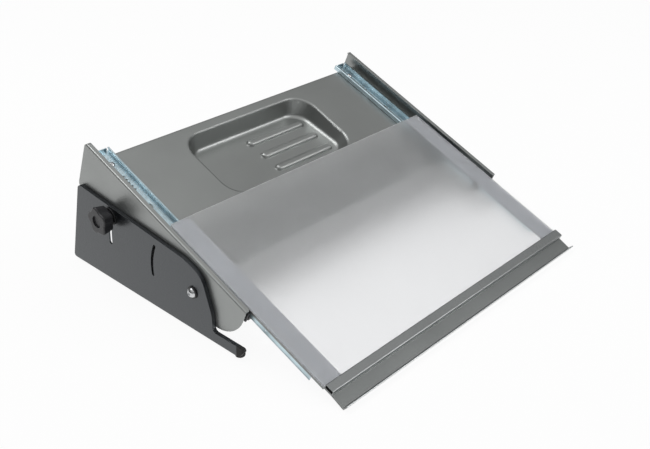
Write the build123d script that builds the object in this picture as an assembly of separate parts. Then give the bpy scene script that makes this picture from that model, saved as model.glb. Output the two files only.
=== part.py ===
"""Tilting document holder with a pull-out writing board, built as separate pieces.

Frame: +X to the right of the seated user, +Y away from the user, +Z up.
Origin: centre of the footprint, on the desk. All lengths in millimetres.
Most of the body lies in a tilted frame: y runs up the slope, z is its normal and
the zero is the rear top corner line of the cheeks.
"""
import math
import os

from build123d import *

# ---------------------------------------------------------------- driving sizes
TILT = 22.28           # steepest slope of the body, degrees
BODY_W = 520.0         # over the outer faces of the cheeks
CHEEK_L = 327.8        # along the slope
CHEEK_DROP = 78.0      # across the slope at the rear
CHEEK_TURN = (223.5, 94.3)   # where the lower edge turns level: along, below
CORNER_Z = 194.9       # rear top corner of the cheeks above the desk
SHEET = 1.5            # grey sheet steel
FLANGE = 7.3           # inward fold along the top of a cheek
LOBE_CLEAR = 22.9      # level underside of the cheek above the desk
LOBE_R = 51.5

STAND_GAP = 6.0        # outer face of a stand beyond the cheek
STAND_T = 2.5          # black sheet steel
STAND_RIM = 5.5        # depth of the pressed rim
STAND_BOTTOM = 4.0     # lower edge above the desk
STAND_REAR = 55.2      # rear end behind the rear top corner line
ARM_TOP = 18.55
ARM_END = 290.0        # front end of the steel arm before the corner line
SHOE_TIP = 302.4       # front end of the moulded shoe before the corner line
PIVOT_Z = 61.7
PIVOT_BACK = 213.0     # pivot in front of the rear top corner line
STUD_R = 169.6         # clamp stud to pivot
STUD_ANGLE = 15.48     # stud above the level through the pivot
TRAVEL_DEG = 14.2      # tilt range of the body
CLAMP_SLOT = 6.6       # width of the clamp slot
INNER_SLOT_R = 80.5
INNER_SLOT = 5.0

PLATE_DROP = 22.3      # top plate below the cheek line
PLATE_REAR = 14.0
PLATE_FRONT = 255.0
PLATE_FOLD = 13.7
TRAY_W = 245.0
TRAY_REAR = 31.5
TRAY_FRONT = 161.0
TRAY_R = 35.0
TRAY_DEPTH = 22.7      # at the middle of the floor
TRAY_PITCH = 5.0       # the floor lies flatter than the plate, degrees
TRAY_DRAFT = 10.0
RIB_S = (66.5, 98.5, 130.5)
RIB_X = (-14.0, 101.0)
RIB_W = 13.0
RIB_H = 4.6

RUNNER_INSET = 23.25   # middle of a runner inside the cheek's outer face
RUNNER_W = 25.0
RUNNER_H = 7.3
RUNNER_T = 1.1
RUNNER_REAR = 7.0
RUNNER_FRONT = 318.3
SCREW_S = (32.0,)      # round-head screws, from the rear
FLUSH_S = (205.0, 240.0)
RIM_LIP = 2.9
MOVING_HALF = 9.3
MOVING_FOOT = 2.3      # lower edge of the moving member above the plate
MOVING_REAR = 191.0
MOVING_FRONT = 433.5
CARRIER_S = (205.0, 310.0, 418.0)
BALL_R = 1.2
BALL_OFF = 10.1
BALL_V = 3.65
BALL_PITCH = 17.0
CAGE_REAR = 194.4
CAGE_FRONT = 316.6
STOP_L = 8.2           # length of the plastic front stop
STOP_H = 12.0          # its top above the plate

BOARD_INSET = 11.2     # board edge inside the cheek's outer face
BOARD_REAR = 168.5
BOARD_FRONT = 455.4
BOARD_TOP = -2.7
BOARD_T = 3.0
FRAME_INSET = 0.5      # frame edge inside the board edge
FRAME_T = 1.4
FRAME_FLANGE = 2.7     # side flange below the frame strip
STRIP_W = 29.8         # side strips of the frame
LEDGE_END = 489.2
BAR_FRONT = 469.0
BAR_H = 7.3
BAR_WALL = 1.1
LEDGE_SCREW_INSET = 23.3

GAP = 0.3              # clearance between pieces that move past each other
FOOT_R = 6.5
FOOT_FRONT_IN = 7.4    # middle of the front tread inside the stand's outer face
FOOT_FRONT_BACK = 288.6
FOOT_REAR_IN = 16.0
FOOT_REAR_Y = 42.0     # behind the rear top corner line
TAB_R = 8.5
KNOB_REACH = 22.2      # outer face of a knob beyond the stand
KNOB_R = 18.6
KNOB_LOBE = 1.8
KNOB_TAPER = 3.0
KNOB_NECK = 4.0
KNOB_DISH = 8.4
STUD_D = 6.0
WASHER_R = 12.2        # black washer behind a knob
WASHER_T = 1.5
AXLE_D = 10.0
BOLT_D = 6.0           # M6 pivot bolts

# ---------------------------------------------------------------- derived sizes
SIN_T = math.sin(math.radians(TILT))
COS_T = math.cos(math.radians(TILT))
HALF = BODY_W / 2
CHEEK_IN = HALF - SHEET
STAND_FACE = HALF + STAND_GAP
STAND_IN = STAND_FACE - STAND_T
RIM_END = STAND_FACE - STAND_RIM
RUNNER_X = HALF - RUNNER_INSET
CHANNEL_OUT = RUNNER_X + RUNNER_W / 2
BOARD_HALF = HALF - BOARD_INSET
FRAME_HALF = BOARD_HALF - FRAME_INSET
WINDOW_HALF = FRAME_HALF - STRIP_W
FRAME_TOP = BOARD_TOP - BOARD_T
FRAME_UNDER = FRAME_TOP - FRAME_T
TIP_S = LEDGE_END + 2.6
TIP_N = -1.1
DEPTH = STAND_REAR + TIP_S * COS_T + TIP_N * SIN_T
CORNER_Y = DEPTH / 2 - STAND_REAR
PIVOT_Y = CORNER_Y - PIVOT_BACK
PLATE_TOP = -PLATE_DROP
FRONT_FOOT = (STAND_FACE - FOOT_FRONT_IN, CORNER_Y - FOOT_FRONT_BACK)
REAR_FOOT = (STAND_FACE - FOOT_REAR_IN, CORNER_Y + FOOT_REAR_Y)
KNOB_SEAT = STAND_FACE + WASHER_T + 2 * GAP
KNOB_OUT = STAND_FACE + KNOB_REACH
LEDGE_OUTER = FRAME_HALF - LEDGE_SCREW_INSET
LEDGE_SCREW_X = (-LEDGE_OUTER, -LEDGE_OUTER / 3, LEDGE_OUTER / 3, LEDGE_OUTER)


def slope_point(y, z):
    """Point of the desk frame given in the tilted frame."""
    dy = y - CORNER_Y
    dz = z - CORNER_Z
    return (dy * COS_T + dz * SIN_T, -dy * SIN_T + dz * COS_T)


def on_slope(shape):
    """Carry a piece from the tilted frame to the desk frame."""
    return Pos(0, CORNER_Y, CORNER_Z) * Rot(TILT, 0, 0) * shape


def other_side(shape):
    return mirror(shape, about=Plane.YZ)


def save(shape, name):
    shape.label = name
    export_step(shape, "parts/" + name + ".step")


def group(pieces):
    return Compound(children=list(pieces))


def side_face(points):
    """Closed face in the YZ plane from (y, z) points."""
    line = Polyline(*[(0, y, z) for y, z in points], close=True)
    return make_face(line)


def side_plate(points, radii, x_from, x_to):
    """Upright plate with a rounded outline; one radius for each corner."""
    body = extrude(side_face(points), amount=x_to - x_from, dir=(1, 0, 0))
    body = Pos(x_from, 0, 0) * body
    for (y, z), radius in zip(points, radii):
        if radius <= 0:
            continue
        near = [e for e in body.edges().filter_by(Axis.X)
                if abs(e.center().Y - y) < 0.05 and abs(e.center().Z - z) < 0.05]
        if near:
            body = fillet(near, radius)
    return body


def pin(x_from, x_to, radius, y=0.0, z=0.0):
    """Cylinder along X."""
    length = x_to - x_from
    body = Rot(0, 90, 0) * Cylinder(radius, length)
    return Pos((x_from + x_to) / 2, y, z) * body


def block(x0, x1, y0, y1, z0, z1):
    size = (x1 - x0, y1 - y0, z1 - z0)
    middle = ((x0 + x1) / 2, (y0 + y1) / 2, (z0 + z1) / 2)
    return Pos(*middle) * Box(*size)


def button(radius, height):
    """Low domed head standing on the XY plane."""
    ball = (radius ** 2 + height ** 2) / (2 * height)
    cap = Pos(0, 0, height - ball) * Sphere(ball)
    return cap & (Pos(0, 0, height / 2) * Box(3 * radius, 3 * radius, height))


def edges_at(body, axis, x=None, y=None, z=None, tol=0.05):
    """Edges along an axis whose middle has the given coordinates."""
    found = []
    for edge in body.edges().filter_by(axis):
        c = edge.center()
        if x is not None and abs(c.X - x) > tol:
            continue
        if y is not None and abs(c.Y - y) > tol:
            continue
        if z is not None and abs(c.Z - z) > tol:
            continue
        found.append(edge)
    return found


def arc_slot(radius, a_from, a_to, width, x_from, x_to):
    """Curved slot about the pivot, cut between two planes of X."""
    a_mid = (a_from + a_to) / 2
    ends = []
    for r in (radius - width / 2, radius + width / 2):
        ends.append([(0, PIVOT_Y + r * math.cos(math.radians(a)),
                      PIVOT_Z + r * math.sin(math.radians(a)))
                     for a in (a_from, a_mid, a_to)])
    inner, outer = ends
    edges = [ThreePointArc(*inner), Line(inner[2], outer[2]),
             ThreePointArc(*outer), Line(inner[0], outer[0])]
    body = extrude(make_face(edges), amount=x_to - x_from, dir=(1, 0, 0))
    body = Pos(x_from, 0, 0) * body
    for a in (a_from, a_to):
        y = PIVOT_Y + radius * math.cos(math.radians(a))
        z = PIVOT_Z + radius * math.sin(math.radians(a))
        body += pin(x_from, x_to, width / 2, y, z)
    return body


# ---------------------------------------------------------------- black stand
STAND_POINTS = (
    (CORNER_Y + STAND_REAR, STAND_BOTTOM), (CORNER_Y + 21.1, 128.65),
    (CORNER_Y + 13.8, 129.1), (CORNER_Y - 197.0, 104.0),
    (CORNER_Y - 230.8, 92.4), (CORNER_Y - 246.8, 42.6),
    (CORNER_Y - 247.3, ARM_TOP), (CORNER_Y - ARM_END, ARM_TOP),
    (CORNER_Y - ARM_END, STAND_BOTTOM))
STAND_RADII = (4, 7, 0, 26, 30, 30, 6, 0, 0)


def shrunk(points, inset):
    """Outline moved inward by a fixed distance, corner by corner."""
    count = len(points)
    area = sum(points[i][0] * points[(i + 1) % count][1]
               - points[(i + 1) % count][0] * points[i][1] for i in range(count))
    turn = 1.0 if area > 0 else -1.0
    moved = []
    for i, (y, z) in enumerate(points):
        before = points[i - 1]
        after = points[(i + 1) % count]
        u = (y - before[0], z - before[1])
        v = (after[0] - y, after[1] - z)
        lu = math.hypot(*u)
        lv = math.hypot(*v)
        nu = (-turn * u[1] / lu, turn * u[0] / lu)
        nv = (-turn * v[1] / lv, turn * v[0] / lv)
        scale = inset / (1 + nu[0] * nv[0] + nu[1] * nv[1])
        moved.append((y + (nu[0] + nv[0]) * scale, z + (nu[1] + nv[1]) * scale))
    return moved


def right_stand():
    """Pressed side stand: web, rim along the top and ends, slots and foot tabs."""
    body = side_plate(STAND_POINTS, STAND_RADII, RIM_END, STAND_FACE)
    inner = shrunk(STAND_POINTS, STAND_T)
    low = STAND_BOTTOM - STAND_T
    front = CORNER_Y - ARM_END - STAND_T
    inner[0] = (inner[0][0] + 1.6, low)
    inner[-1] = (front, low)
    inner[-2] = (front, ARM_TOP - STAND_T)
    radii = (0, 5, 0, 23.5, 27.5, 32.5, 8, 0, 0)
    body -= side_plate(inner, radii, RIM_END - 1, STAND_IN)
    x, y = REAR_FOOT
    tab = Pos(x, y, STAND_BOTTOM + STAND_T / 2) * Cylinder(TAB_R, STAND_T)
    tab += block(x, STAND_IN + 1, y - TAB_R, y + TAB_R, STAND_BOTTOM,
                 STAND_BOTTOM + STAND_T)
    body += tab
    body -= Pos(x, y, STAND_BOTTOM) * Cylinder(RIVET_R, 3 * STAND_T)
    low_angle = STUD_ANGLE - TRAVEL_DEG
    body -= arc_slot(STUD_R, low_angle, STUD_ANGLE, CLAMP_SLOT,
                     STAND_IN - 1, STAND_FACE + 1)
    body -= arc_slot(INNER_SLOT_R, -6.0, 26.6, INNER_SLOT, STAND_IN - 1, STAND_FACE + 1)
    body -= pin(STAND_IN - 1, STAND_FACE + 1, BOLT_D / 2 + 0.1, PIVOT_Y, PIVOT_Z)
    return body


RIVET_R = 1.6
RIVET_DEEP = 2.0       # length of a foot rivet inside the rubber


def tread(height):
    """Round rubber tread with a softened lower edge."""
    r = FOOT_R
    pts = [(0, 0), (r - 1.6, 0), (r - 0.4, 0.7), (r, 1.9), (r, height), (0, height)]
    face = make_face(Polyline(*[(x, 0, z) for x, z in pts], close=True))
    return revolve(face, Axis.Z)


def front_shoe():
    """Moulded end of the arm: a nose, a tongue inside the rim and a tread below."""
    y_end = CORNER_Y - ARM_END
    y_tip = CORNER_Y - SHOE_TIP
    x_in = RIM_END
    nose = ((y_end, STAND_BOTTOM), (y_end, ARM_TOP), (y_tip, ARM_TOP), (y_tip, 14.6),
            (y_tip + 7.6, STAND_BOTTOM))
    body = side_plate(nose, (0, 0, 3.4, 2.5, 0), x_in, STAND_FACE)
    plan = block(x_in, STAND_FACE, y_tip - 0.1, y_end, 0, ARM_TOP)
    plan = fillet(edges_at(plan, Axis.Z, x=STAND_FACE, y=y_tip - 0.1), 4.0)
    body = body & plan
    body += block(x_in, STAND_IN, y_end - 1, y_end + 13, STAND_BOTTOM, ARM_TOP - STAND_T)
    return body + Pos(FRONT_FOOT[0], FRONT_FOOT[1], 0) * tread(STAND_BOTTOM + 0.01)


def stand_feet():
    rear = tread(STAND_BOTTOM)
    rear -= Pos(0, 0, STAND_BOTTOM) * Cylinder(RIVET_R, 2 * RIVET_DEEP + 0.1)
    rear = Pos(REAR_FOOT[0], REAR_FOOT[1], 0) * rear
    shoe = front_shoe()
    return group([shoe, other_side(shoe), rear, other_side(rear)])


def foot_rivets():
    """Domed rivet through each rear tab into its foot."""
    long = STAND_T + RIVET_DEEP
    rivet = button(3.2, 1.5) + Pos(0, 0, -long / 2 + 0.05) * Cylinder(RIVET_R - 0.05, long)
    rivet = Pos(REAR_FOOT[0], REAR_FOOT[1], STAND_BOTTOM + STAND_T) * rivet
    return both_sides(rivet)


# ---------------------------------------------------------------- pivot
def pivot_axle():
    """Rod between the stands with a tapped hole in each end."""
    body = pin(-STAND_IN, STAND_IN, AXLE_D / 2, PIVOT_Y, PIVOT_Z)
    for side in (-1, 1):
        end = Pos(side * STAND_IN, PIVOT_Y, PIVOT_Z) * Rot(0, 90, 0)
        body -= end * Cylinder(BOLT_D / 2, 44)
    return body


def ring(x_from, x_to, outer, inner, y, z):
    return pin(x_from, x_to, outer, y, z) - pin(x_from - 1, x_to + 1, inner, y, z)


def both_sides(piece):
    return group([piece, other_side(piece)])


def pivot_bolt():
    """Button head with a hex socket and its shank."""
    seat = STAND_FACE + WASHER_T
    high = 4.6
    face = make_face([Line((0, 0, 0), (6.7, 0, 0)), Line((6.7, 0, 0), (6.6, 0, 0.8)),
                      ThreePointArc((6.6, 0, 0.8), (4.3, 0, 3.7), (0, 0, high)),
                      Line((0, 0, high), (0, 0, 0))])
    head = revolve(face, Axis.Z)
    head -= Pos(0, 0, high - 1.1) * extrude(RegularPolygon(2.3, 6), amount=3)
    body = Pos(seat, PIVOT_Y, PIVOT_Z) * Rot(0, 90, 0) * head
    return body + pin(STAND_IN - 18, seat, BOLT_D / 2, PIVOT_Y, PIVOT_Z)


# ---------------------------------------------------------------- cheeks
PIVOT_S, PIVOT_N = slope_point(PIVOT_Y, PIVOT_Z)
STUD_Y = PIVOT_Y + STUD_R * math.cos(math.radians(STUD_ANGLE))
STUD_Z = PIVOT_Z + STUD_R * math.sin(math.radians(STUD_ANGLE))
STUD_S, STUD_N = slope_point(STUD_Y, STUD_Z)


def right_cheek():
    """Side sheet with an inward fold along its top and a round front lobe."""
    level = LOBE_CLEAR - CORNER_Z
    nose = (level + CHEEK_L * SIN_T) / COS_T
    turn_s, turn_n = CHEEK_TURN
    points = ((0, 0), (-CHEEK_L, 0), (-CHEEK_L, nose), (-turn_s, -turn_n),
              (0, -CHEEK_DROP))
    body = side_plate(points, (0, 0, LOBE_R, 60, 10), CHEEK_IN, HALF)
    body += block(HALF - FLANGE, HALF, -CHEEK_L, 0, -SHEET, 0)
    body = fillet(edges_at(body, Axis.Y, x=HALF, z=0), 2.2)
    body = fillet(edges_at(body, Axis.Y, x=CHEEK_IN, z=-SHEET), 0.7)
    body = fillet(edges_at(body, Axis.Z, x=HALF - FLANGE), 3.0)
    r = 5.0
    corner = block(HALF - FLANGE - 1, HALF + 1, -r, 1, -r, 1)
    body -= corner - pin(HALF - FLANGE - 2, HALF + 2, r, -r, -r)
    body -= pin(CHEEK_IN - 1, HALF + 1, AXLE_D / 2 + 0.05, PIVOT_S, PIVOT_N)
    body -= pin(CHEEK_IN - 1, HALF + 1, STUD_D / 2, STUD_S, STUD_N)
    return on_slope(body)


# ---------------------------------------------------------------- top plate
TRAY_MID = -(TRAY_FRONT + TRAY_REAR) / 2


def tray_floor(below):
    """Place on the inclined tray floor, a distance below its upper face."""
    return Pos(0, TRAY_MID, PLATE_TOP - TRAY_DEPTH) * Rot(-TRAY_PITCH, 0, 0) * Pos(0, 0, -below)


def tray_outline(grow, draft):
    width = TRAY_W + 2 * grow - 2 * draft
    length = TRAY_FRONT - TRAY_REAR + 2 * grow - 2 * draft
    return RectangleRounded(width, length, TRAY_R + grow - draft * 0.7)


def tray_body(grow, below, radius):
    """Dished solid with a drafted wall and a rounded edge round its inclined floor."""
    low = tray_floor(below)
    body = loft([Pos(0, TRAY_MID, PLATE_TOP) * tray_outline(grow, 0),
                 low * tray_outline(grow, TRAY_DRAFT)])
    level = low.inverse() * body
    floor = [e for e in level.edges() if abs(e.center().Z) < 0.01]
    return low * fillet(floor, radius)


def capsule(x0, x1, y, width, z0, z1, radius):
    """Bar with round ends, its upper edge rounded."""
    length = x1 - x0
    face = Pos((x0 + x1) / 2, y, z0) * SlotOverall(length, width)
    body = extrude(face, amount=z1 - z0)
    top = [e for e in body.edges() if abs(e.center().Z - z1) < 0.01]
    return fillet(top, radius)


def top_plate():
    """Folded plate with a pressed pen tray and three finger ribs in its floor."""
    deep = PLATE_FOLD
    body = block(-CHEEK_IN, CHEEK_IN, -PLATE_FRONT, -PLATE_REAR, PLATE_TOP - deep, PLATE_TOP)
    body = fillet(edges_at(body, Axis.X, z=PLATE_TOP), 3.2)
    body = fillet(edges_at(body, Axis.Y, z=PLATE_TOP), 2.2)
    hollow = block(-CHEEK_IN + SHEET, CHEEK_IN - SHEET, -PLATE_FRONT + SHEET,
                   -PLATE_REAR - SHEET, PLATE_TOP - deep - 1, PLATE_TOP - SHEET)
    hollow = fillet(edges_at(hollow, Axis.X, z=PLATE_TOP - SHEET), 1.7)
    body -= hollow
    for x in (-1, 1):
        for y in (-PLATE_FRONT, -PLATE_REAR):
            body -= block(min(x * (CHEEK_IN + 1), x * (CHEEK_IN - 4)),
                          max(x * (CHEEK_IN + 1), x * (CHEEK_IN - 4)),
                          y - 4, y + 4, PLATE_TOP - deep - 1, PLATE_TOP - 4)
    body += tray_body(SHEET, SHEET, 7.5 + SHEET)
    body -= tray_body(0, 0, 7.5)
    rim = [e for e in body.edges() if abs(e.center().Z - PLATE_TOP) < 0.01
           and abs(e.center().X) < TRAY_W / 2 + 1
           and -TRAY_FRONT - 1 < e.center().Y < -TRAY_REAR + 1]
    body = fillet(rim, 2.6)
    for side in (-1, 1):
        for s in SCREW_S + FLUSH_S:
            body -= Pos(side * RUNNER_X, -s, PLATE_TOP) * Cylinder(2.0, 6)
    floor = tray_floor(0)
    for s in RIB_S:
        y = -s - TRAY_MID
        body += floor * capsule(RIB_X[0], RIB_X[1], y, RIB_W, -SHEET / 2, RIB_H,
                                RIB_H - 0.3)
        body -= floor * capsule(RIB_X[0] + SHEET, RIB_X[1] - SHEET, y, RIB_W - 2 * SHEET,
                                -SHEET - 1, RIB_H - SHEET, RIB_H - SHEET)
    return on_slope(body)


# ---------------------------------------------------------------- runners
def profile(points, s_from, s_to):
    """Section given as (across the runner, above the plate), run along the slope."""
    line = Polyline(*[(RUNNER_X + u, 0, PLATE_TOP + v) for u, v in points], close=True)
    face = make_face(line)
    body = extrude(face, amount=s_to - s_from, dir=(0, -1, 0))
    return Pos(0, -s_from, 0) * body


def right_runner_fixed():
    """Channel with inward lips, a bent-up rear stop, hole row and centre groove."""
    half = RUNNER_W / 2
    t = RUNNER_T
    lip = half - RIM_LIP
    points = [(-half, 0), (half, 0), (half, RUNNER_H), (lip, RUNNER_H),
              (lip, RUNNER_H - t), (half - t, RUNNER_H - t), (half - t, t),
              (-half + t, t), (-half + t, RUNNER_H - t), (-lip, RUNNER_H - t),
              (-lip, RUNNER_H), (-half, RUNNER_H)]
    body = profile(points, RUNNER_REAR, RUNNER_FRONT)
    x0 = RUNNER_X - half
    x1 = RUNNER_X + half
    base = edges_at(body, Axis.Y, x=x0, z=PLATE_TOP) + edges_at(body, Axis.Y, x=x1, z=PLATE_TOP)
    body = fillet(base, 1.3)
    high = PLATE_TOP + RUNNER_H
    rims = edges_at(body, Axis.Y, x=x0, z=high) + edges_at(body, Axis.Y, x=x1, z=high)
    body = fillet(rims, 1.15)
    floor = PLATE_TOP + t
    body -= block(RUNNER_X - 2, RUNNER_X + 2, -RUNNER_FRONT - 1, -RUNNER_REAR - 14,
                  floor - 0.4, floor + 1)
    stop = block(RUNNER_X - 8.4, RUNNER_X + 8.4, -RUNNER_REAR - t, -RUNNER_REAR,
                 PLATE_TOP + 0.4, high - 0.3)
    stop = fillet(edges_at(stop, Axis.Y, z=high - 0.3), 2.0)
    body += stop
    for k in range(5):
        body -= Pos(RUNNER_X, -(58 + 6.5 * k), PLATE_TOP) * Cylinder(1.9, 6)
    for s in SCREW_S:
        body -= Pos(RUNNER_X, -s, PLATE_TOP) * Cylinder(2.0, 6)
    for s in FLUSH_S:
        body -= Pos(RUNNER_X, -s, PLATE_TOP + t / 2) * Cone(2.0, 3.6, t)
    for s in (118.0, 275.0, 300.0):
        body -= Pos(RUNNER_X, -s, PLATE_TOP) * Rot(0, 0, 90) * extrude(
            SlotOverall(9, 4.2), amount=6, both=True)
    return on_slope(body)


def runner_screws():
    """Pan head screws near the rear, flush screws under the ball cages."""
    pieces = []
    pan = make_face([Line((0, 0, 0), (3.9, 0, 0)), Line((3.9, 0, 0), (3.8, 0, 0.7)),
                     ThreePointArc((3.8, 0, 0.7), (2.6, 0, 1.6), (0, 0, 1.9)),
                     Line((0, 0, 1.9), (0, 0, 0))])
    head = revolve(pan, Axis.Z)
    for turn in (0, 90):
        head -= Pos(0, 0, 1.9) * Rot(0, 0, turn) * Box(4.2, 0.9, 1.8)
    shank = Pos(0, 0, -2.4) * Cylinder(2.0, 5.0)
    flush = Pos(0, 0, -RUNNER_T / 2) * Cone(2.0, 3.6, RUNNER_T)
    flush += Pos(0, 0, -2.6) * Cylinder(2.0, 4.6)
    for turn in (0, 90):
        flush -= Pos(0, 0, 0) * Rot(0, 0, turn) * Box(3.6, 0.8, 1.6)
    for side in (-1, 1):
        for s in SCREW_S:
            pieces.append(on_slope(Pos(side * RUNNER_X, -s, PLATE_TOP + RUNNER_T)
                                   * (head + shank)))
        for s in FLUSH_S:
            pieces.append(on_slope(Pos(side * RUNNER_X, -s, PLATE_TOP + RUNNER_T) * flush))
    return group(pieces)


def right_bumper():
    """Plastic front stop: a saddle under the moving member with an arched outer clip."""
    y0 = -RUNNER_FRONT - STOP_L
    y1 = -RUNNER_FRONT
    slot = MOVING_HALF + 0.4
    clip_in = RUNNER_X + slot + 1.3
    clip_out = CHANNEL_OUT + 0.5
    body = block(2 * RUNNER_X - CHANNEL_OUT - 1.2, clip_out + 2.5, y0, y1,
                 PLATE_TOP - 2.2, PLATE_TOP + STOP_H)
    body -= block(RUNNER_X - slot, RUNNER_X + slot, y0 - 1, y1 + 1,
                  PLATE_TOP + MOVING_FOOT - 0.4, PLATE_TOP + STOP_H + 1)
    body -= block(clip_in, clip_out, y0 - 1, y1 + 1, PLATE_TOP - 3,
                  PLATE_TOP + STOP_H - 2.4)
    outer = edges_at(body, Axis.Y, x=clip_out + 2.5, z=PLATE_TOP + STOP_H)
    body = fillet(outer, 2.2)
    arch = edges_at(body, Axis.Y, z=PLATE_TOP + STOP_H - 2.4)
    return on_slope(fillet(arch, 0.9))


def right_runner_moving():
    """Deep channel under the board, open downward, with a raceway in each wall."""
    t = RUNNER_T
    w = MOVING_HALF
    top = FRAME_UNDER - PLATE_TOP
    points = [(-w, MOVING_FOOT), (-w, top), (w, top), (w, MOVING_FOOT),
              (w - t, MOVING_FOOT), (w - t, top - t), (-w + t, top - t),
              (-w + t, MOVING_FOOT)]
    body = profile(points, MOVING_REAR, MOVING_FRONT)
    for x in (RUNNER_X - w, RUNNER_X + w):
        body = fillet(edges_at(body, Axis.Y, x=x, z=PLATE_TOP + top), 1.4)
    mid = -(MOVING_REAR + MOVING_FRONT) / 2
    long = MOVING_FRONT - MOVING_REAR + 2
    for side in (-1, 1):
        groove = Pos(RUNNER_X + side * BALL_OFF, mid, PLATE_TOP + BALL_V)
        body -= groove * Rot(90, 0, 0) * Cylinder(BALL_R + 0.15, long)
        ear = block(0, 1.5, -MOVING_REAR - 1.6, -MOVING_REAR, PLATE_TOP + 2.6,
                    PLATE_TOP + 5.6)
        start = RUNNER_X + (w - 0.3 if side > 0 else -w - 1.2)
        body += Pos(start, 0, 0) * ear
    body -= pin(RUNNER_X, RUNNER_X + 2 * w, 1.4, -HOLE_S, PLATE_TOP + 6.1)
    for s in CARRIER_S:
        body -= Pos(RUNNER_X, -s, FRAME_UNDER) * Cylinder(2.05, 6)
    return on_slope(body)


HOLE_S = 353.5


def ball_places():
    """Distances along the slope of the balls in one row."""
    count = 7
    middle = (CAGE_REAR + CAGE_FRONT) / 2
    return [middle + BALL_PITCH * (k - (count - 1) / 2) for k in range(count)]


def right_cage():
    """Thin ball cage: floor strip and two upright strips with ball pockets."""
    half = BALL_OFF + 0.35
    body = block(RUNNER_X - half, RUNNER_X + half, -CAGE_FRONT, -CAGE_REAR,
                 PLATE_TOP + 1.5, PLATE_TOP + 2.0)
    for side in (-1, 1):
        x = RUNNER_X + side * BALL_OFF
        body += block(x - 0.35, x + 0.35, -CAGE_FRONT, -CAGE_REAR, PLATE_TOP + 1.5,
                      PLATE_TOP + 5.7)
    for s in ball_places():
        body -= pin(RUNNER_X - 12, RUNNER_X + 12, BALL_R + 0.12, -s, PLATE_TOP + BALL_V)
    for k in range(6):
        s = CAGE_REAR + 11 + k * 20
        body -= Pos(RUNNER_X, -s, PLATE_TOP + 1.7) * extrude(
            Rot(0, 0, 90) * SlotOverall(13, 8), amount=3, both=True)
    return on_slope(body)


def right_balls():
    pieces = []
    for s in ball_places():
        for side in (-1, 1):
            centre = Pos(RUNNER_X + side * BALL_OFF, -s, PLATE_TOP + BALL_V)
            pieces.append(on_slope(centre * Sphere(BALL_R)))
    return group(pieces)


def mirrored_group(pieces):
    return group([other_side(p) for p in pieces.children])


# ---------------------------------------------------------------- writing board
def writing_board():
    """Frosted sheet with small rounded corners."""
    half = BOARD_HALF
    body = block(-half, half, -BOARD_FRONT, -BOARD_REAR, FRAME_TOP, BOARD_TOP)
    body = fillet(edges_at(body, Axis.Z, y=-BOARD_REAR), 2.5)
    body = chamfer([e for e in body.edges() if abs(e.center().Z - BOARD_TOP) < 0.01], 0.4)
    return on_slope(body)


def board_frame():
    """Sheet frame: two side strips, the front trough and its leaning lip."""
    half = FRAME_HALF
    s_top = FRAME_TOP
    s_low = FRAME_UNDER
    drop = 1.7
    front = [(BOARD_FRONT, s_top), (BAR_FRONT, s_top), (LEDGE_END - 2.0, s_top - drop),
             (TIP_S - 1.35, TIP_N + 0.2), (TIP_S, TIP_N), (LEDGE_END, s_low - drop),
             (LEDGE_END - 2.0, s_low - drop), (BAR_FRONT, s_low), (BOARD_FRONT, s_low)]
    line = Polyline(*[(-half, -s, n) for s, n in front], close=True)
    body = extrude(make_face(line), amount=2 * half, dir=(1, 0, 0))
    body = fillet(edges_at(body, Axis.X, y=-LEDGE_END, z=s_low - drop), 1.2)
    for side in (-1, 1):
        x0 = min(side * WINDOW_HALF, side * half)
        x1 = max(side * WINDOW_HALF, side * half)
        body += block(x0, x1, -BOARD_FRONT, -BOARD_REAR - 1, s_low, s_top)
        edge = side * (half - FRAME_T)
        body += block(min(edge, side * half), max(edge, side * half), -BOARD_FRONT,
                      -BOARD_REAR - 1, s_low - FRAME_FLANGE, s_top)
    body = fillet(edges_at(body, Axis.Y, x=-half, z=s_top, tol=0.05)
                  + edges_at(body, Axis.Y, x=half, z=s_top, tol=0.05), 0.9)
    corners = [e for e in body.edges().filter_by(Axis.Z)
               if abs(abs(e.center().X) - WINDOW_HALF) < 0.05
               and abs(e.center().Y + BOARD_FRONT) < 0.05]
    if corners:
        body = fillet(corners, 4)
    for side in (-1, 1):
        for s in CARRIER_S:
            body -= Pos(side * RUNNER_X, -s, s_low) * Cylinder(2.05, 6)
    for x in LEDGE_SCREW_X:
        body -= Pos(x, -(BOARD_FRONT + BAR_FRONT) / 2, s_low) * Cylinder(1.55, 6)
    return on_slope(body)


def ledge_bar():
    """Hollow bar across the front of the board."""
    half = FRAME_HALF
    y0 = -BAR_FRONT
    y1 = -BOARD_FRONT
    z0 = FRAME_TOP
    z1 = FRAME_TOP + BAR_H
    body = block(-half, half, y0, y1, z0, z1)
    body = fillet(edges_at(body, Axis.X, z=z1), 1.9)
    body = fillet(edges_at(body, Axis.X, z=z0), 0.6)
    w = BAR_WALL
    hollow = block(-half - 1, half + 1, y0 + w, y1 - w, z0 + w, z1 - w)
    hollow = fillet(edges_at(hollow, Axis.X), 0.8)
    body -= hollow
    for x in LEDGE_SCREW_X:
        body -= Pos(x, (y0 + y1) / 2, z0) * Cylinder(1.55, 2 * w + 0.5)
    return on_slope(body)


def ledge_screws():
    """Low round heads under the frame, shanks into the floor of the bar."""
    pieces = []
    screw = Rot(180, 0, 0) * button(2.8, 1.3) + Pos(0, 0, 1.7) * Cylinder(1.5, 3.5)
    for x in LEDGE_SCREW_X:
        y = -(BOARD_FRONT + BAR_FRONT) / 2
        pieces.append(on_slope(Pos(x, y, FRAME_UNDER) * screw))
    return group(pieces)


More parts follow.
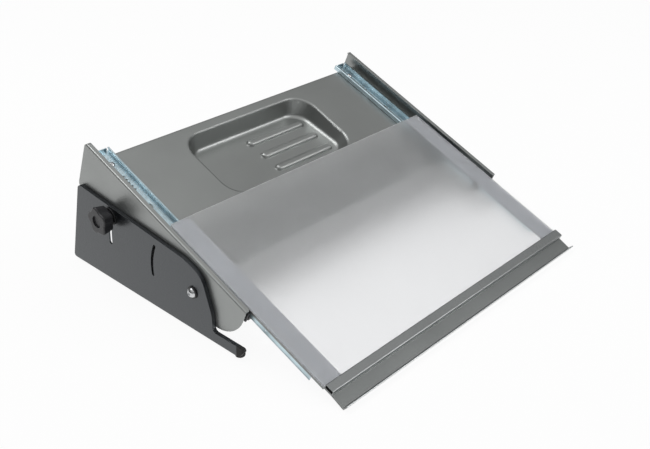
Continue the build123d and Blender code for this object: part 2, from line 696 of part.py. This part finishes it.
def carrier_rivets():
    """Rivets that hold the moving members to the frame strips."""
    pieces = []
    under = FRAME_UNDER - RUNNER_T
    long = RUNNER_T + FRAME_T
    rivet = Rot(180, 0, 0) * button(3.4, 1.5)
    rivet += Pos(0, 0, (long - 0.1) / 2) * Cylinder(2.0, long + 0.1)
    for side in (-1, 1):
        for s in CARRIER_S:
            pieces.append(on_slope(Pos(side * RUNNER_X, -s, under) * rivet))
    return group(pieces)


# ---------------------------------------------------------------- clamp
def right_stud():
    """Clamp stud: low round head inside the cheek, shank out to the knob."""
    head = Pos(CHEEK_IN, STUD_S, STUD_N) * Rot(0, -90, 0) * button(6.5, 3.0)
    body = head + pin(CHEEK_IN - 0.5, KNOB_OUT - STUD_END, STUD_D / 2, STUD_S, STUD_N)
    return on_slope(body)


def knob_outline(turn, inset):
    """Closed wavy line with five lobes."""
    pts = []
    for k in range(40):
        a = 2 * math.pi * k / 40
        r = KNOB_R - inset + KNOB_LOBE * math.cos(5 * (a - math.radians(turn)))
        pts.append((r * math.cos(a), r * math.sin(a)))
    return make_face(Spline(*pts, periodic=True))


def knob(turn):
    """Tapered clamp knob along +Z from its hub face, dished at its outer face."""
    total = KNOB_OUT - KNOB_SEAT
    head = loft([Pos(0, 0, KNOB_NECK) * knob_outline(turn, KNOB_TAPER),
                 Pos(0, 0, total) * knob_outline(turn, 0)])
    head = fillet([e for e in head.edges() if e.center().Z > total - 0.01], 1.8)
    low = [e for e in head.edges() if abs(e.center().Z - KNOB_NECK) < 0.01]
    body = chamfer(low, 0.8)
    body += Cone(WASHER_R - 2.5, WASHER_R, KNOB_NECK + 0.5,
                 align=(Align.CENTER, Align.CENTER, Align.MIN))
    body -= Pos(0, 0, total) * Cylinder(KNOB_DISH, 4.4)
    bore = total - STUD_END
    body -= Pos(0, 0, bore / 2) * Cylinder(STUD_D / 2 + 0.05, bore + 1.2)
    return body


STUD_END = 7.0         # end of the stud inside the knob's outer face


def right_knob():
    return Pos(KNOB_SEAT, STUD_Y, STUD_Z) * Rot(0, 90, 0) * knob(KNOB_TURN)


KNOB_TURN = 28.0


def main():
    os.makedirs("parts", exist_ok=True)
    stand = right_stand()
    save(stand, "right_stand")
    save(other_side(stand), "left_stand")
    save(stand_feet(), "stand_feet")
    save(foot_rivets(), "foot_rivets")
    save(pivot_axle(), "pivot_axle")
    save(both_sides(pivot_bolt()), "pivot_bolts")
    washer = ring(STAND_FACE, STAND_FACE + WASHER_T, 8.4, BOLT_D / 2, PIVOT_Y, PIVOT_Z)
    save(both_sides(washer), "pivot_washers")
    spacer = ring(HALF + GAP, STAND_IN, 9.0, AXLE_D / 2, PIVOT_Y, PIVOT_Z)
    save(both_sides(spacer), "pivot_spacers")

    cheek = right_cheek()
    save(cheek, "right_cheek")
    save(other_side(cheek), "left_cheek")
    save(top_plate(), "top_plate")
    fixed = right_runner_fixed()
    save(fixed, "right_runner_fixed")
    save(other_side(fixed), "left_runner_fixed")
    save(runner_screws(), "runner_screws")
    save(both_sides(right_bumper()), "runner_bumpers")
    save(both_sides(right_stud()), "clamp_studs")
    clamp = ring(HALF, STAND_IN - GAP, 8.0, STUD_D / 2, STUD_Y, STUD_Z)
    save(both_sides(clamp), "clamp_spacers")
    clamp = ring(STAND_FACE + GAP, STAND_FACE + GAP + WASHER_T, WASHER_R, STUD_D / 2,
                 STUD_Y, STUD_Z)
    save(both_sides(clamp), "clamp_washers")
    turned = right_knob()
    save(turned, "right_knob")
    save(other_side(turned), "left_knob")

    cage = right_cage()
    save(cage, "right_cage")
    save(other_side(cage), "left_cage")
    balls = right_balls()
    save(balls, "right_balls")
    save(mirrored_group(balls), "left_balls")

    save(writing_board(), "writing_board")
    save(board_frame(), "board_frame")
    save(ledge_bar(), "ledge_bar")
    save(ledge_screws(), "ledge_screws")
    moving = right_runner_moving()
    save(moving, "right_runner_moving")
    save(other_side(moving), "left_runner_moving")
    save(carrier_rivets(), "carrier_rivets")


if __name__ == "__main__":
    main()
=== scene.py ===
"""Looks of a tilting document holder with a pull-out frosted writing board.

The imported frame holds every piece. This script gives each piece its finish, adds the fine
pieces that only matter to the eye, and sets a plain studio round them.
Lengths are in metres, in the frame's own axes: +X right, +Y away from the user, +Z up.
"""
import logging
import math
from dataclasses import dataclass, field
from enum import Enum
from typing import Any, Sequence

import bmesh
import bpy
import numpy as np
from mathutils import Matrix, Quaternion, Vector


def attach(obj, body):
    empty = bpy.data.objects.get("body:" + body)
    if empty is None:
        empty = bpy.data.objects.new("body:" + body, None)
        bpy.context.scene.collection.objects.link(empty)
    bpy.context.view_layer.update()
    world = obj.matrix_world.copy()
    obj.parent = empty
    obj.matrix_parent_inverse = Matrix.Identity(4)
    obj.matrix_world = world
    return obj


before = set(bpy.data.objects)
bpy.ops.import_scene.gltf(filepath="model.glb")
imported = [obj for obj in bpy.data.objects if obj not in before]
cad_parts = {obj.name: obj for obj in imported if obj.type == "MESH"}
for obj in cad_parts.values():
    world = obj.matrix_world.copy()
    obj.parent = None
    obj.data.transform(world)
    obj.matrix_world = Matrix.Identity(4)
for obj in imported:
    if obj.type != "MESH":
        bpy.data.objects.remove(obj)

LOG = logging.getLogger("document_holder")
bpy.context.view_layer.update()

Colour = tuple[float, float, float]


# ---------------------------------------------------------------- node graphs
class Graph:
    """The node tree of one material, with short calls for the nodes that finishes use."""

    def __init__(self, name: str) -> None:
        """Start an empty tree.

        Args:
            name: The material's name.
        """
        self.material = bpy.data.materials.new(name)
        self.material.use_nodes = True
        self.tree = self.material.node_tree
        self.tree.nodes.clear()

    def add(self, kind: str, inputs: dict[str, Any] | None = None, **settings: Any) -> Any:
        """Add one node.

        Args:
            kind: Blender's node type, such as "ShaderNodeTexNoise".
            inputs: Values or output sockets by input name or index.
            settings: Plain properties of the node.

        Returns:
            The new node.
        """
        node = self.tree.nodes.new(kind)
        for key, value in settings.items():
            setattr(node, key, value)
        for key, value in (inputs or {}).items():
            self.plug(value, node.inputs[key])
        return node

    def plug(self, value: Any, socket: Any) -> None:
        """Link a socket, or set a plain value, on an input."""
        if isinstance(value, bpy.types.NodeSocket):
            self.tree.links.new(value, socket)
        else:
            socket.default_value = value

    def place(self) -> Any:
        """Object coordinates, in metres."""
        return self.add("ShaderNodeTexCoord").outputs["Object"]

    def stretched(self, place: Any, scale: Sequence[float], turn: float = 0.0) -> Any:
        """Coordinates turned about X and scaled along each axis.

        Args:
            place: The coordinates to change.
            scale: Factor for X, Y and Z.
            turn: Turn about X before scaling, in radians.

        Returns:
            The changed coordinates' socket.
        """
        turned = self.add("ShaderNodeVectorRotate", {"Vector": place, "Angle": -turn},
                          rotation_type="X_AXIS").outputs["Vector"]
        return self.add("ShaderNodeVectorMath", {0: turned, 1: tuple(scale)},
                        operation="MULTIPLY").outputs["Vector"]

    def noise(self, place: Any, scale: float, detail: float = 3.0, rough: float = 0.5) -> Any:
        """Noise value between 0 and 1 at that many waves a metre."""
        return self.add("ShaderNodeTexNoise",
                        {"Vector": place, "Scale": scale, "Detail": detail, "Roughness": rough}
                        ).outputs["Fac"]

    def remap(self, value: Any, low: float, high: float, to_low: float, to_high: float) -> Any:
        """Value carried from one range to another and held inside it."""
        return self.add("ShaderNodeMapRange",
                        {"Value": value, "From Min": low, "From Max": high,
                         "To Min": to_low, "To Max": to_high}).outputs["Result"]

    def blend(self, share: Any, first: Any, second: Any) -> Any:
        """Colour between two colours."""
        node = self.add("ShaderNodeMix", data_type="RGBA")
        for value, socket in ((share, node.inputs["Factor"]), (first, node.inputs[6]),
                              (second, node.inputs[7])):
            if isinstance(value, tuple):
                value = (*value, 1.0)
            self.plug(value, socket)
        return node.outputs[2]

    def relief(self, height: Any, depth: float, strength: float = 1.0,
               under: Any | None = None) -> Any:
        """Normal from a height between 0 and 1 that is worth a depth in metres."""
        inputs = {"Height": height, "Distance": depth, "Strength": strength}
        if under is not None:
            inputs["Normal"] = under
        return self.add("ShaderNodeBump", inputs).outputs["Normal"]

    def soft_edge(self, radius: float) -> Any:
        """Normal that rounds sharp edges by a small radius."""
        return self.add("ShaderNodeBevel", {"Radius": radius}, samples=4).outputs["Normal"]

    def edge_mask(self, radius: float) -> Any:
        """1 close to a sharp edge and 0 on flat ground."""
        bent = self.add("ShaderNodeBevel", {"Radius": radius}, samples=4).outputs["Normal"]
        plain = self.add("ShaderNodeNewGeometry").outputs["Normal"]
        near = self.add("ShaderNodeVectorMath", {0: bent, 1: plain},
                        operation="DOT_PRODUCT").outputs["Value"]
        return self.remap(near, 0.995, 0.90, 0.0, 1.0)

    def finish(self, shader: Any) -> bpy.types.Material:
        """Plug the shader into the output and hand over the material."""
        self.add("ShaderNodeOutputMaterial", {"Surface": shader})
        return self.material


# ---------------------------------------------------------------- finishes
@dataclass(frozen=True)
class PowderCoat:
    """Baked powder paint on sheet metal: fine orange peel, faint clouding, and edges painted
    paler, partly as worn paint and partly as a painted highlight.

    Args:
        name: The material's name.
        colour: Paint colour, linear.
        roughness: Middle roughness.
        grain: Width of one grain of the texture.
        depth: Height of the texture.
        edge: How much paler the edges are painted, as wear and as a painted highlight, from 0
            to 1.
        soft: Radius by which the paint rounds an edge.
        flake: Share of metal flake in the paint, from 0 to 1.
        ior: Refractive index of the paint's resin.
        sheen_tint: Colour of its gloss.
    """

    name: str
    colour: Colour
    roughness: float
    grain: float = 0.0011
    depth: float = 0.00005
    edge: float = 0.25
    soft: float = 0.0006
    flake: float = 0.0
    ior: float = 1.5
    sheen_tint: Colour = (1.0, 1.0, 1.0)

    def build(self) -> bpy.types.Material:
        """Make the material."""
        g = Graph(self.name)
        place = g.place()
        cloud = g.noise(place, 9.0, 4.0)
        peel = g.noise(place, 1.0 / self.grain, 2.0, 0.6)
        dark = tuple(c * 0.95 for c in self.colour)
        light = tuple(min(1.0, c * 1.05) for c in self.colour)
        paint = g.blend(g.remap(cloud, 0.3, 0.7, 0.0, 1.0), dark, light)
        # Edges painted paler: partly worn paint, partly a painted highlight along each edge.
        worn_and_highlit_edge = tuple(c + (0.6 - c) * self.edge for c in self.colour)
        mask = g.edge_mask(0.0008)
        broken = g.remap(g.noise(place, 160.0, 3.0), 0.35, 0.65, 0.25, 1.0)
        mask = g.add("ShaderNodeMath", {0: mask, 1: broken}, operation="MULTIPLY").outputs[0]
        paint = g.blend(mask, paint, worn_and_highlit_edge)
        rough = g.remap(peel, 0.25, 0.75, self.roughness - 0.05, self.roughness + 0.05)
        normal = g.relief(peel, self.depth, 0.5, g.soft_edge(self.soft))
        shader = g.add("ShaderNodeBsdfPrincipled",
                       {"Base Color": paint, "Roughness": rough, "Normal": normal,
                        "Metallic": self.flake, "IOR": self.ior,
                        "Specular Tint": (*self.sheen_tint, 1.0)})
        return g.finish(shader.outputs["BSDF"])


@dataclass(frozen=True)
class RolledZinc:
    """Zinc plated rolled strip with fine lines along the slope and a cool tint.

    Args:
        name: The material's name.
        colour: Metal colour, linear.
        roughness: Middle roughness.
        turn: Slope of the rolling direction, in radians.
    """

    name: str
    colour: Colour
    roughness: float
    turn: float

    def build(self) -> bpy.types.Material:
        """Make the material."""
        g = Graph(self.name)
        place = g.place()
        along = g.stretched(place, (1.0, 0.02, 1.0), self.turn)
        lines = g.noise(along, 2600.0, 2.0, 0.7)
        spangle = g.noise(place, 45.0, 3.0)
        dark = tuple(c * 0.82 for c in self.colour)
        light = tuple(min(1.0, c * 1.12) for c in self.colour)
        tone = g.blend(g.remap(spangle, 0.3, 0.7, 0.0, 1.0), dark, light)
        rough = g.remap(lines, 0.3, 0.7, self.roughness - 0.08, self.roughness + 0.08)
        normal = g.relief(lines, 0.00002, 0.35, g.soft_edge(0.0004))
        shader = g.add("ShaderNodeBsdfPrincipled",
                       {"Base Color": tone, "Roughness": rough, "Normal": normal,
                        "Metallic": 1.0})
        return g.finish(shader.outputs["BSDF"])


@dataclass(frozen=True)
class BrightMetal:
    """Turned or pressed bright metal, faintly brushed.

    Args:
        name: The material's name.
        colour: Metal colour, linear.
        roughness: Middle roughness.
    """

    name: str
    colour: Colour
    roughness: float

    def build(self) -> bpy.types.Material:
        """Make the material."""
        g = Graph(self.name)
        place = g.place()
        marks = g.noise(place, 900.0, 4.0, 0.7)
        rough = g.remap(marks, 0.3, 0.7, self.roughness * 0.8, self.roughness * 1.3)
        dark = tuple(c * 0.85 for c in self.colour)
        tone = g.blend(g.remap(g.noise(place, 120.0), 0.35, 0.65, 0.0, 1.0), dark, self.colour)
        normal = g.relief(marks, 0.00001, 0.3, g.soft_edge(0.0003))
        shader = g.add("ShaderNodeBsdfPrincipled",
                       {"Base Color": tone, "Roughness": rough, "Normal": normal,
                        "Metallic": 1.0})
        return g.finish(shader.outputs["BSDF"])


@dataclass(frozen=True)
class MouldedPlastic:
    """Moulded black plastic or rubber with an eroded, slightly uneven skin and edges painted
    lighter as a highlight.

    Args:
        name: The material's name.
        colour: Colour, linear.
        roughness: Middle roughness.
        grain: Width of one grain of the skin.
        depth: Height of the skin's grain.
    """

    name: str
    colour: Colour
    roughness: float
    grain: float = 0.0008
    depth: float = 0.00006

    def build(self) -> bpy.types.Material:
        """Make the material."""
        g = Graph(self.name)
        place = g.place()
        skin = g.noise(place, 1.0 / self.grain, 3.0, 0.6)
        patch = g.noise(place, 60.0, 3.0)
        light = tuple(min(1.0, c * 1.5 + 0.004) for c in self.colour)
        tone = g.blend(g.remap(patch, 0.3, 0.75, 0.0, 1.0), self.colour, light)
        # Edges painted lighter: a painted highlight along the plastic's edges.
        tone = g.blend(g.edge_mask(0.0006), tone, tuple(c * 2.4 + 0.01 for c in self.colour))
        rough = g.remap(skin, 0.3, 0.7, self.roughness - 0.07, self.roughness + 0.07)
        normal = g.relief(skin, self.depth, 0.5, g.soft_edge(0.0005))
        shader = g.add("ShaderNodeBsdfPrincipled",
                       {"Base Color": tone, "Roughness": rough, "Normal": normal})
        return g.finish(shader.outputs["BSDF"])


@dataclass(frozen=True)
class FrostedAcrylic:
    """Clear sheet etched on both faces: what lies under it blurs with its distance.

    Args:
        name: The material's name.
        tint: Colour of the light that passes, linear.
        roughness: Roughness of the etched faces.
        milk: Share of the light that the etched skin scatters.
        sawn: The same share along the sawn edges, whose paler line is partly the rougher sawn
            face and partly a painted highlight.
    """

    name: str
    tint: Colour
    roughness: float
    milk: float
    sawn: float = 0.55

    def build(self) -> bpy.types.Material:
        """Make the material."""
        g = Graph(self.name)
        place = g.place()
        etch = g.noise(place, 1500.0, 2.0, 0.6)
        haze = g.noise(place, 12.0, 3.0)
        rough = g.remap(haze, 0.3, 0.7, self.roughness - 0.02, self.roughness + 0.02)
        normal = g.relief(etch, 0.00001, 0.2)
        clear = g.add("ShaderNodeBsdfPrincipled",
                      {"Base Color": (*self.tint, 1.0), "Roughness": rough, "Normal": normal,
                       "Transmission Weight": 1.0, "IOR": 1.49}).outputs["BSDF"]
        skin = g.add("ShaderNodeBsdfPrincipled",
                     {"Base Color": (0.86, 0.87, 0.88, 1.0), "Roughness": 0.6,
                      "Normal": normal}).outputs["BSDF"]
        share = g.remap(etch, 0.3, 0.7, self.milk * 0.9, self.milk * 1.1)
        # Sawn edges mixed towards the pale skin: partly the rougher sawn face, partly a
        # painted highlight along the board's edges.
        sawn = g.add("ShaderNodeMath", {0: g.edge_mask(0.0012), 1: self.sawn},
                     operation="MULTIPLY").outputs[0]
        share = g.add("ShaderNodeMath", {0: share, 1: sawn}, operation="MAXIMUM").outputs[0]
        mixed = g.add("ShaderNodeMixShader", {0: share, 1: clear, 2: skin})
        return g.finish(mixed.outputs["Shader"])


SLOPE = math.radians(22.28)
GREY = PowderCoat("grey_coat", (0.325, 0.337, 0.330), 0.38, flake=0.88)
PLATE_GREY = PowderCoat("plate_coat", (0.325, 0.337, 0.330), 0.33, soft=0.0035, flake=0.88)
# Frame edges painted far paler: a painted highlight along the strips' edges, on top of wear.
FRAME_GREY = PowderCoat("frame_coat", (0.235, 0.246, 0.243), 0.33, edge=1.2, flake=0.88)
BAR_GREY = PowderCoat("bar_coat", (0.300, 0.312, 0.312), 0.30, grain=0.0009, flake=0.88)
BLACK = PowderCoat("black_coat", (0.007, 0.008, 0.0095), 0.31, grain=0.0012, edge=0.05,
                   ior=1.74, sheen_tint=(0.89, 0.95, 1.0))
ZINC = RolledZinc("runner_zinc_coat", (0.56, 0.68, 0.73), 0.36, SLOPE)
BRIGHT = BrightMetal("bright_zinc", (0.66, 0.67, 0.68), 0.24)
BALL = BrightMetal("bearing_steel", (0.75, 0.75, 0.76), 0.10)
NYLON = MouldedPlastic("black_nylon", (0.012, 0.012, 0.013), 0.48)
KNOB = MouldedPlastic("knob_skin", (0.014, 0.014, 0.016), 0.40, grain=0.0010)
RUBBER = MouldedPlastic("tread_rubber", (0.010, 0.010, 0.010), 0.72, grain=0.0006)
# Pale paint on the lip's hem: a painted highlight along the lip's tip, far paler than the
# bar's grey.
HEM_HIGHLIGHT = PowderCoat("hem_painted_highlight", (0.62, 0.64, 0.65), 0.34, edge=0.0, flake=0.88)
FILM = PowderCoat("bonding_film", (0.56, 0.58, 0.61), 0.40, grain=0.004, edge=0.0, flake=0.4)
ACRYLIC = FrostedAcrylic("etched_sheet", (0.985, 0.99, 1.0), 0.42, 0.06)


class Finish(Enum):
    """The finishes of this object; each value is its recipe."""

    GREY = GREY
    PLATE = PLATE_GREY
    FRAME = FRAME_GREY
    BAR = BAR_GREY
    BLACK = BLACK
    ZINC = ZINC
    BRIGHT = BRIGHT
    BALL = BALL
    NYLON = NYLON
    KNOB = KNOB
    RUBBER = RUBBER
    HEM_HIGHLIGHT = HEM_HIGHLIGHT
    FILM = FILM
    ACRYLIC = ACRYLIC

    def material(self) -> bpy.types.Material:
        """The finish's material, made once."""
        return bpy.data.materials.get(self.value.name) or self.value.build()


def dress(node: str, finish: Finish) -> None:
    """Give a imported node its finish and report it.

    Args:
        node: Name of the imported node.
        finish: The finish it gets.
    """
    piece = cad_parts[node]
    material = finish.material()
    if not piece.material_slots:
        piece.data.materials.append(material)
    for slot in piece.material_slots:
        slot.material = material
    LOG.info("%s: %s", node, finish.value.name)


# ---------------------------------------------------------------- meshes
BOARD_BODY = "board_carriage"
CORNER_Y = 0.199733
CORNER_Z = 0.1949


def on_slope(x: np.ndarray, s: np.ndarray, n: np.ndarray) -> np.ndarray:
    """Points given along the desk's slope, in the frame.

    y = corner y - s cos(slope) - n sin(slope), z = corner z - s sin(slope) + n cos(slope).

    Args:
        x: Distance to the right of the middle.
        s: Distance down the slope from the cheeks' rear top corner.
        n: Height above the slope.

    Returns:
        The points, with their three coordinates last.
    """
    x, s, n = np.broadcast_arrays(x, s, n)
    y = CORNER_Y - s * math.cos(SLOPE) - n * math.sin(SLOPE)
    z = CORNER_Z - s * math.sin(SLOPE) + n * math.cos(SLOPE)
    return np.stack([x, y, z], axis=-1)


def shell(name: str, rings: np.ndarray, body: str, finish: Finish) -> bpy.types.Object:
    """Closed piece from rings of points, joined ring to ring and capped at both ends.

    Args:
        name: The piece's name.
        rings: Points by ring, by place on the ring, by coordinate.
        body: The body that it rides on.
        finish: The finish it gets.

    Returns:
        The new piece.
    """
    count, around = rings.shape[:2]
    index = np.arange(count * around).reshape(count, around)
    after = np.roll(index, -1, axis=1)
    walls = np.stack([index[:-1], after[:-1], after[1:], index[1:]], axis=-1).reshape(-1, 4)
    faces = walls.tolist() + [index[0][::-1].tolist(), index[-1].tolist()]
    mesh = bpy.data.meshes.new(name)
    mesh.from_pydata(rings.reshape(-1, 3).tolist(), [], faces)
    mesh.update()
    shape = bmesh.new()
    shape.from_mesh(mesh)
    bmesh.ops.recalc_face_normals(shape, faces=shape.faces)
    shape.to_mesh(mesh)
    shape.free()
    mesh.materials.append(finish.material())
    piece = bpy.data.objects.new(name, mesh)
    bpy.context.scene.collection.objects.link(piece)
    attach(piece, body)
    LOG.info("%s: %s", name, finish.value.name)
    return piece


# ---------------------------------------------------------------- sub-assemblies
@dataclass
class StandBase:
    """The two black side stands with their feet and the pivot between them."""

    finishes: dict[str, Finish] = field(default_factory=lambda: {
        "left_stand": Finish.BLACK, "right_stand": Finish.BLACK,
        "stand_feet": Finish.RUBBER, "foot_rivets": Finish.BRIGHT,
        "pivot_axle": Finish.BRIGHT, "pivot_bolts": Finish.BRIGHT,
        "pivot_washers": Finish.NYLON, "pivot_spacers": Finish.NYLON})

    def build(self) -> None:
        """Dress every piece of the base."""
        for node, finish in self.finishes.items():
            dress(node, finish)


@dataclass
class DeskBody:
    """Cheeks, top plate with the pen tray, fixed runners and clamp studs."""

    finishes: dict[str, Finish] = field(default_factory=lambda: {
        "left_cheek": Finish.GREY, "right_cheek": Finish.GREY, "top_plate": Finish.PLATE,
        "left_runner_fixed": Finish.ZINC, "right_runner_fixed": Finish.ZINC,
        "runner_screws": Finish.BRIGHT, "runner_bumpers": Finish.NYLON,
        "clamp_studs": Finish.BRIGHT, "clamp_spacers": Finish.NYLON,
        "clamp_washers": Finish.NYLON, "left_knob": Finish.KNOB, "right_knob": Finish.KNOB})

    def build(self) -> None:
        """Dress every piece of the body."""
        for node, finish in self.finishes.items():
            dress(node, finish)


@dataclass
class BoardCarriage:
    """The frosted board with its frame, ledge bar and moving runner members."""

    finishes: dict[str, Finish] = field(default_factory=lambda: {
        "writing_board": Finish.ACRYLIC, "board_frame": Finish.FRAME, "ledge_bar": Finish.BAR,
        "ledge_screws": Finish.BRIGHT, "left_runner_moving": Finish.ZINC,
        "right_runner_moving": Finish.ZINC, "carrier_rivets": Finish.BRIGHT,
        "left_cage": Finish.NYLON, "right_cage": Finish.NYLON,
        "left_balls": Finish.BALL, "right_balls": Finish.BALL})
    film_x: tuple[float, float] = (0.2187, 0.2475)
    film_s: tuple[float, float] = (0.1700, 0.4550)
    film_n: tuple[float, float] = (-0.0057, -0.00552)
    film_rings: int = 12
    hem_half: float = 0.2480
    hem_centre: tuple[float, float] = (0.4909, -0.0013)
    hem_radius: float = 0.00085
    hem_sides: int = 14
    hem_rings: int = 24

    def film(self, name: str, side: int) -> None:
        """Pale bonding film between the sheet and one side strip of its frame.

        A flat rectangle carried down the slope in equal steps.

        Args:
            name: The piece's name.
            side: 1 on the right, -1 on the left.
        """
        x = side * np.array([self.film_x[0], self.film_x[1], self.film_x[1], self.film_x[0]])
        n = np.array([self.film_n[0], self.film_n[0], self.film_n[1], self.film_n[1]])
        s = np.linspace(*self.film_s, self.film_rings)[:, None]
        shell(name, on_slope(x[None, :], s, n[None, :]), BOARD_BODY, Finish.FILM)

    def hem(self) -> None:
        """Rolled hem along the tip of the leaning lip: a circle carried across the desk. Its
        pale paint is a painted highlight along the lip.
        """
        turn = np.linspace(0.0, 2.0 * math.pi, self.hem_sides, endpoint=False)
        s = self.hem_centre[0] + self.hem_radius * np.cos(turn)
        n = self.hem_centre[1] + self.hem_radius * np.sin(turn)
        x = np.linspace(-self.hem_half, self.hem_half, self.hem_rings)[:, None]
        shell("lip_hem", on_slope(x, s[None, :], n[None, :]), BOARD_BODY, Finish.HEM_HIGHLIGHT)

    def build(self) -> None:
        """Dress every piece of the carriage and add the film and the hem."""
        for node, finish in self.finishes.items():
            dress(node, finish)
        self.film("left_bonding_film", -1)
        self.film("right_bonding_film", 1)
        self.hem()


# ---------------------------------------------------------------- studio
@dataclass(frozen=True)
class SoftBox:
    """Square soft lamp.

    Args:
        name: The lamp's name.
        place: Where it hangs.
        size: Side of its square.
        power: Watts.
    """

    name: str
    place: tuple[float, float, float]
    size: float
    power: float


@dataclass
class Studio:
    """Pale floor, soft lamps and the camera.

    Args:
        eye: Where the camera stands.
        azimuth: Its bearing; 0 looks along +Y and a negative one stands to the left.
        elevation: How far it looks down, in degrees.
        roll: Turn of the picture about the line of sight, in degrees.
        lens: Focal length for a 36 mm wide picture.
        floor_half: Half the floor's side.
        glow_seen: Share of plain white in the floor that the camera and gloss see.
        glow_through: Share of plain white in the floor that shows through the board.
        fade: Depths between which that white fades out towards the desk's body, a painted
            shadow on top of its real shadow.
        paper: Grey of the floor itself.
        lean: Direction in which the surroundings grow brighter.
        sky_span: Values of that direction between which they do.
        sky_level: Strengths of the surroundings at those values.
        aim: The point that the lamps face.
        lamps: The lamps.
    """

    eye: tuple[float, float, float] = (-0.862768, -0.787555, 0.696051)
    azimuth: float = -47.2078
    elevation: float = 29.1164
    roll: float = 0.5187
    lens: float = 51.54
    floor_half: float = 12.0
    glow_seen: float = 0.93
    glow_through: float = 0.92
    fade: tuple[float, float] = (-0.065, 0.050)
    paper: Colour = (0.88, 0.88, 0.88)
    lean: tuple[float, float, float] = (0.0, -0.25, 1.0)
    sky_span: tuple[float, float] = (0.30, 1.0)
    sky_level: tuple[float, float] = (0.08, 0.88)
    aim: tuple[float, float, float] = (0.0, 0.0, 0.05)
    lamps: tuple[SoftBox, ...] = (
        SoftBox("front_box", (1.35, -1.55, 1.35), 0.9, 11.0),
        SoftBox("top_box", (-0.4, 0.9, 2.1), 1.3, 20.0))

    def camera(self) -> None:
        """Place the camera at the photograph's viewing angle."""
        data = bpy.data.cameras.new("camera")
        data.lens = self.lens
        data.sensor_width = 36.0
        data.clip_end = 60.0
        eye = bpy.data.objects.new("camera", data)
        bpy.context.scene.collection.objects.link(eye)
        a = math.radians(self.azimuth)
        e = math.radians(self.elevation)
        look = Vector((-math.sin(a) * math.cos(e), math.cos(a) * math.cos(e), -math.sin(e)))
        eye.location = self.eye
        eye.rotation_mode = "QUATERNION"
        tilt = Quaternion((0.0, 0.0, 1.0), math.radians(self.roll))
        eye.rotation_quaternion = look.to_track_quat("-Z", "Y") @ tilt
        bpy.context.scene.camera = eye

    def floor(self) -> None:
        """Pale floor that the camera, gloss and clear pieces see as white, with a painted
        shadow under the desk's body where it is seen through the board.
        """
        half = self.floor_half
        corners = np.array([[-half, -half, 0], [half, -half, 0], [half, half, 0],
                            [-half, half, 0]])
        mesh = bpy.data.meshes.new("floor")
        mesh.from_pydata(corners.tolist(), [], [(0, 1, 2, 3)])
        mesh.update()
        floor = bpy.data.objects.new("floor", mesh)
        bpy.context.scene.collection.objects.link(floor)
        g = Graph("floor_paper")
        path = g.add("ShaderNodeLightPath")
        through = path.outputs["Is Transmission Ray"]
        gloss = g.add("ShaderNodeMath", {0: path.outputs["Is Glossy Ray"], 1: through},
                      operation="SUBTRACT", use_clamp=True).outputs[0]
        seen = g.add("ShaderNodeMath", {0: path.outputs["Is Camera Ray"], 1: gloss},
                     operation="MAXIMUM").outputs[0]
        seen = g.add("ShaderNodeMath", {0: seen, 1: self.glow_seen},
                     operation="MULTIPLY").outputs[0]
        # Painted shadow: seen through the board, the white fades out by depth towards the
        # desk's body.
        depth = g.add("ShaderNodeSeparateXYZ", {0: g.place()}).outputs["Y"]
        glow_outside_painted_shadow = g.add("ShaderNodeMapRange",
                           {"Value": depth, "From Min": self.fade[0], "From Max": self.fade[1],
                            "To Min": self.glow_through, "To Max": 0.0},
                           interpolation_type="SMOOTHSTEP").outputs["Result"]
        under = g.add("ShaderNodeMath", {0: through, 1: glow_outside_painted_shadow},
                      operation="MULTIPLY").outputs[0]
        share = g.add("ShaderNodeMath", {0: seen, 1: under}, operation="MAXIMUM").outputs[0]
        paper = g.add("ShaderNodeBsdfDiffuse", {"Color": (*self.paper, 1.0)})
        glow = g.add("ShaderNodeEmission", {"Color": (1.0, 1.0, 1.0, 1.0), "Strength": 1.0})
        mixed = g.add("ShaderNodeMixShader",
                      {0: share, 1: paper.outputs[0], 2: glow.outputs[0]})
        mesh.materials.append(g.finish(mixed.outputs["Shader"]))

    def hang(self, box: SoftBox) -> None:
        """Hang one soft lamp, facing the aim."""
        data = bpy.data.lights.new(box.name, "AREA")
        data.size = box.size
        data.energy = box.power
        lamp = bpy.data.objects.new(box.name, data)
        bpy.context.scene.collection.objects.link(lamp)
        lamp.location = box.place
        lamp.rotation_mode = "QUATERNION"
        sight = Vector(self.aim) - Vector(box.place)
        lamp.rotation_quaternion = sight.to_track_quat("-Z", "Y")

    def sky(self) -> None:
        """Grey surroundings, brightest overhead and darkest low behind the desk.

        The level follows the dot product of the direction and the vector `lean`.
        The camera itself sees plain white.
        """
        world = bpy.data.worlds.new("studio")
        world.use_nodes = True
        tree = world.node_tree
        place = tree.nodes.new("ShaderNodeTexCoord")
        along = tree.nodes.new("ShaderNodeVectorMath")
        along.operation = "DOT_PRODUCT"
        along.inputs[1].default_value = self.lean
        level = tree.nodes.new("ShaderNodeMapRange")
        keys = ("From Min", "From Max", "To Min", "To Max")
        for key, value in zip(keys, (*self.sky_span, *self.sky_level)):
            level.inputs[key].default_value = value
        tree.links.new(place.outputs["Generated"], along.inputs[0])
        tree.links.new(along.outputs["Value"], level.inputs["Value"])
        back = tree.nodes["Background"]
        back.inputs["Color"].default_value = (1.0, 1.0, 1.0, 1.0)
        path = tree.nodes.new("ShaderNodeLightPath")
        seen = tree.nodes.new("ShaderNodeMath")
        seen.operation = "MAXIMUM"
        tree.links.new(level.outputs["Result"], seen.inputs[0])
        tree.links.new(path.outputs["Is Camera Ray"], seen.inputs[1])
        tree.links.new(seen.outputs[0], back.inputs["Strength"])
        bpy.context.scene.world = world

    def build(self) -> None:
        """Set up the whole studio."""
        self.camera()
        self.floor()
        self.sky()
        for box in self.lamps:
            self.hang(box)
        bpy.context.scene.view_settings.view_transform = "Standard"


def main() -> None:
    """Build every sub-assembly and the studio."""
    logging.basicConfig(level=logging.INFO, format="%(message)s")
    for part in (StandBase(), DeskBody(), BoardCarriage()):
        part.build()
    Studio().build()


if __name__ == "__main__":
    main()
